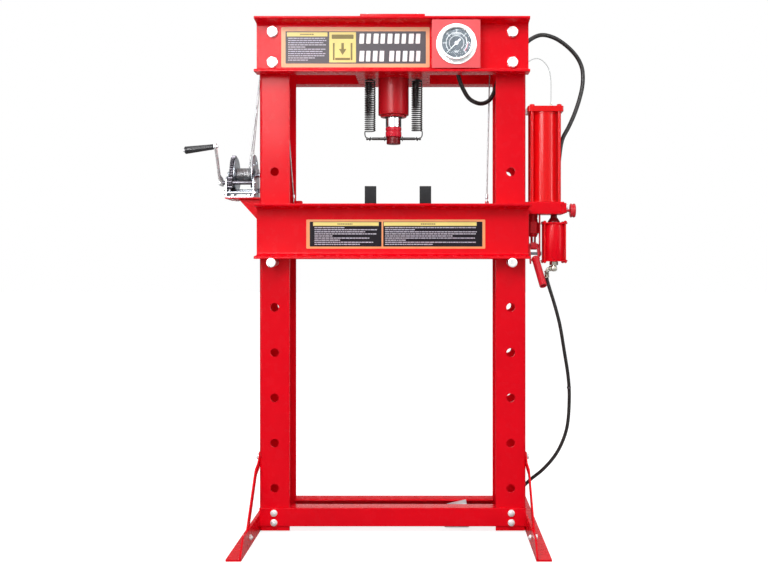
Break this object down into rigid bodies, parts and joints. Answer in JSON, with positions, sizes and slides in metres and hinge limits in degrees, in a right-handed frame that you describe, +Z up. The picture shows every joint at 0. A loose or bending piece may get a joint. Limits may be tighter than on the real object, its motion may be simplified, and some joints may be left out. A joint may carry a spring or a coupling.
{
  "type": "shop press",
  "caption": "H-frame workshop press: a hydraulic ram over a winch-lifted bed held by pins, with an air-driven oil pump, a hand lever, a gauge and a foot valve.",
  "frame": {"origin": "on the floor, midway between the columns and midway from front to rear", "axes": "+X to the right of a person facing the press, +Y to the rear, +Z up along the ram axis"},
  "size_m": [1.404, 0.906, 1.808],
  "materials": {
    "paint": "glossy signal-red enamel with light orange peel and edge wear",
    "ram_paint": "glossy darker red enamel on the ram, knob and handle",
    "zinc": "bright zinc plating with faint spangle",
    "chrome": "hard chrome, ground and polished",
    "cable": "stranded galvanised wire rope",
    "spring": "black oiled spring steel, satin",
    "black_iron": "black paint over cast iron, worn at the edges",
    "hose": "matte black rubber hose cover",
    "grip": "black moulded plastic with fine texture",
    "alloy": "cast aluminium, lightly blasted",
    "needle": "white lacquered pointer"
  },
  "bodies": {
    "frame": {"column_left": "paint", "column_right": "paint", "upper_beam_front": "paint", "upper_beam_rear": "paint", "base_rail_front": "paint", "base_rail_rear": "paint", "foot_left": "paint", "foot_right": "paint", "brace_left_front": "paint", "brace_left_rear": "paint", "brace_right_front": "paint", "brace_right_rear": "paint", "beam_bolt_left_upper": "zinc", "beam_bolt_left_lower": "zinc", "beam_bolt_right_upper": "zinc", "beam_bolt_right_lower": "zinc", "ram_cylinder": "ram_paint", "ram_gland": "ram_paint", "cylinder_top_plate": "paint", "cylinder_seat_plate": "paint", "gauge_panel": "paint", "gauge_case": "chrome", "winch_bracket": "paint", "winch_frame": "zinc", "lift_cable_left_run": "cable", "lift_cable_right_run": "cable", "pump_block": "paint", "air_cylinder": "paint", "air_cylinder_cap": "paint", "air_canister": "paint", "hydraulic_hose": "hose", "air_hose": "hose", "foot_valve_body": "alloy", "return_spring_left": "spring", "return_spring_right": "spring", "lift_cable_left_fall": "cable", "lift_cable_right_fall": "cable"},
    "ram": {"ram_rod": "chrome", "ram_head": "ram_paint", "spring_bar": "spring"},
    "bed": {"bed_channel_front": "paint", "bed_channel_rear": "paint", "bed_spacer_left": "paint", "bed_spacer_right": "paint"},
    "v_block_left": {"v_block_left": "black_iron"},
    "v_block_right": {"v_block_right": "black_iron"},
    "pin_left": {"bed_pin_left": "zinc"},
    "pin_right": {"bed_pin_right": "zinc"},
    "needle": {"gauge_needle": "needle"},
    "winch_drum": {"winch_drum": "zinc", "winch_gear": "zinc"},
    "winch_crank": {"winch_pinion_shaft": "zinc", "winch_crank_arm": "zinc"},
    "winch_grip": {"winch_grip": "grip"},
    "pulley_left": {"top_pulley_left": "zinc"},
    "pulley_right": {"top_pulley_right": "zinc"},
    "release_valve": {"release_valve_knob": "ram_paint"},
    "pump_handle": {"handle_socket": "ram_paint"},
    "pump_plunger": {"pump_plunger": "chrome"},
    "foot_pedal": {"foot_pedal": "alloy"}
  },
  "joints": [
    {"name": "ram_slide", "type": "slide", "parent": "frame", "child": "ram", "axis": [0, 0, -1], "range_m": [0, 0.15], "stiffness_N_per_m": 2500, "springref_m": -0.04, "deforming": ["return_spring_left", "return_spring_right"]},
    {"name": "bed_slide", "type": "slide", "parent": "frame", "child": "bed", "axis": [0, 0, 1], "range_m": [0, 0.158], "deforming": ["lift_cable_left_fall", "lift_cable_right_fall"]},
    {"name": "drum_spin", "type": "hinge", "parent": "frame", "child": "winch_drum", "pos_m": [-0.535, 0.035, 1.258], "axis": [1, 0, 0], "range_deg": [-375, 5]},
    {"name": "crank_spin", "type": "hinge", "parent": "frame", "child": "winch_crank", "pos_m": [-0.576, -0.0455, 1.225], "axis": [1, 0, 0], "range_deg": [-20, 1430]},
    {"name": "grip_spin", "type": "hinge", "parent": "winch_crank", "child": "winch_grip", "pos_m": [-0.65159, -0.1999, 1.32902], "axis": [-0.9925, 0, -0.1219], "continuous": true},
    {"name": "pulley_left_spin", "type": "hinge", "parent": "frame", "child": "pulley_left", "pos_m": [-0.444, 0.07, 1.69], "axis": [0, 1, 0], "range_deg": [-245, 5]},
    {"name": "pulley_right_spin", "type": "hinge", "parent": "frame", "child": "pulley_right", "pos_m": [0.312, 0.07, 1.69], "axis": [0, 1, 0], "range_deg": [-245, 5]},
    {"name": "v_block_left_slide", "type": "slide", "parent": "bed", "child": "v_block_left", "axis": [-1, 0, 0], "range_m": [-0.03, 0.17]},
    {"name": "v_block_right_slide", "type": "slide", "parent": "bed", "child": "v_block_right", "axis": [1, 0, 0], "range_m": [-0.06, 0.14]},
    {"name": "pin_left_slide", "type": "slide", "parent": "frame", "child": "pin_left", "axis": [0, -1, 0], "range_m": [0, 0.34]},
    {"name": "pin_right_slide", "type": "slide", "parent": "frame", "child": "pin_right", "axis": [0, -1, 0], "range_m": [0, 0.34]},
    {"name": "needle_sweep", "type": "hinge", "parent": "frame", "child": "needle", "pos_m": [0.221, -0.18, 1.692], "axis": [0, 1, 0], "range_deg": [0, 270]},
    {"name": "release_valve_turn", "type": "hinge", "parent": "frame", "child": "release_valve", "pos_m": [0.64, 0, 1.129], "axis": [1, 0, 0], "range_deg": [0, 360]},
    {"name": "handle_swing", "type": "hinge", "parent": "frame", "child": "pump_handle", "pos_m": [0.5, -0.03, 0.975], "axis": [-1, 0, 0], "range_deg": [0, 80]},
    {"name": "plunger_slide", "type": "slide", "parent": "frame", "child": "pump_plunger", "axis": [0, 0, -1], "range_m": [0, 0.0434]},
    {"name": "pedal_press", "type": "hinge", "parent": "frame", "child": "foot_pedal", "pos_m": [0.198, 0, 0.06], "axis": [0, 1, 0], "range_deg": [0, 10], "stiffness_Nm_per_rad": 3, "springref_deg": -5.73}
  ],
  "couplings": [
    {"joint": "drum_spin", "follows": "bed_slide", "rad_per_m": -40.816},
    {"joint": "crank_spin", "follows": "bed_slide", "rad_per_m": 156.46},
    {"joint": "pulley_left_spin", "follows": "bed_slide", "rad_per_m": -26.316},
    {"joint": "pulley_right_spin", "follows": "bed_slide", "rad_per_m": -26.316},
    {"joint": "plunger_slide", "follows": "handle_swing", "m_per_rad": 0.031}
  ]
}
